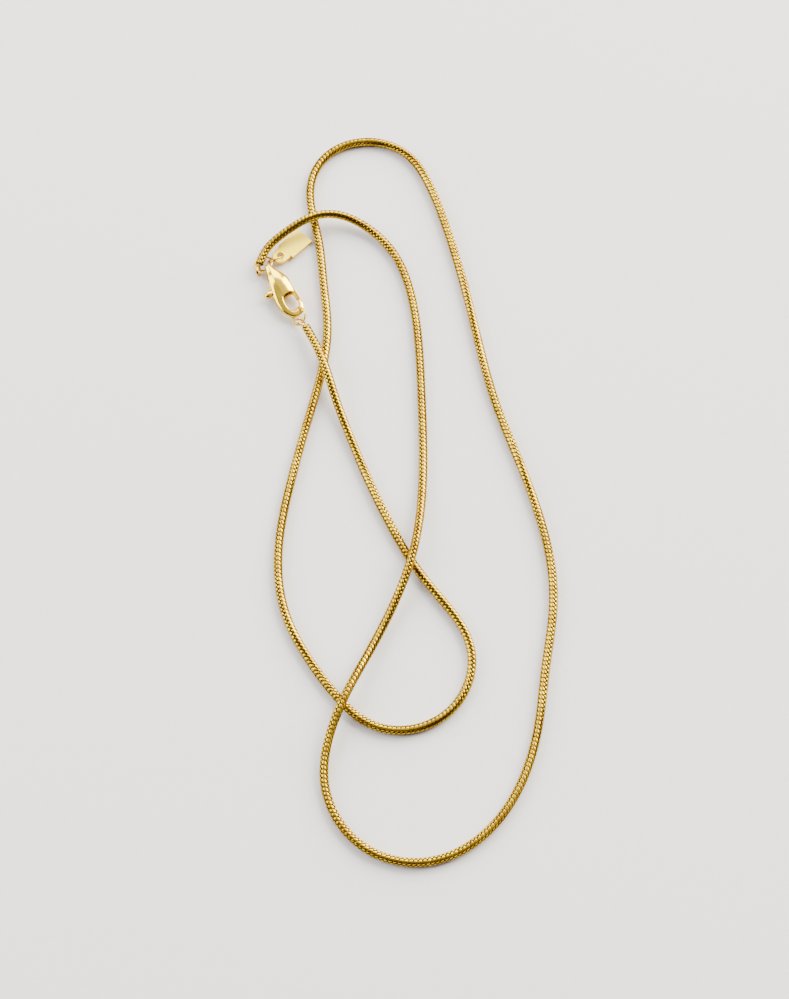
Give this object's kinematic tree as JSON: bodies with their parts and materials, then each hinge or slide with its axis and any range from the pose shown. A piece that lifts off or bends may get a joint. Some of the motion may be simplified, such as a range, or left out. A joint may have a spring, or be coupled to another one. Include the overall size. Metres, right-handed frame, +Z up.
{
  "type": "snake chain necklace with lobster clasp",
  "caption": "Gold snake chain necklace, fastened by a lobster clasp and laid down in loops, with jump rings and a small bare tag.",
  "frame": {"origin": "centre of the bounding box's bottom face, on the surface that the necklace lies on", "axes": "+Z up, +Y along the laid chain from the lower loop to the upper arch, +X to the right as seen from above"},
  "size_m": [0.048, 0.1246, 0.003],
  "materials": {
    "chain_gold": "polished gold plate on rolled brass scales, dark in the seams",
    "polished_gold": "polished gold plate on drawn wire",
    "satin_gold": "satin gold plate on stamped sheet",
    "clasp_gold": "tumbled gold plate on cast brass"
  },
  "bodies": {
    "necklace": {"chain": "chain_gold", "loop_start": "polished_gold", "loop_end": "polished_gold", "hook_ring": "polished_gold", "tail_ring": "polished_gold", "tag_ring": "polished_gold", "tag": "satin_gold", "clasp_body": "clasp_gold", "clasp_pin": "clasp_gold"},
    "lever": {"clasp_lever": "clasp_gold"}
  },
  "joints": [
    {"name": "lever_hinge", "type": "hinge", "parent": "necklace", "child": "lever", "pos_m": [-0.0194, 0.03456, 0.0011], "axis": [0, 0, -1], "range_deg": [0, 25], "stiffness_Nm_per_rad": 0.002, "springref_deg": -20.05}
  ]
}
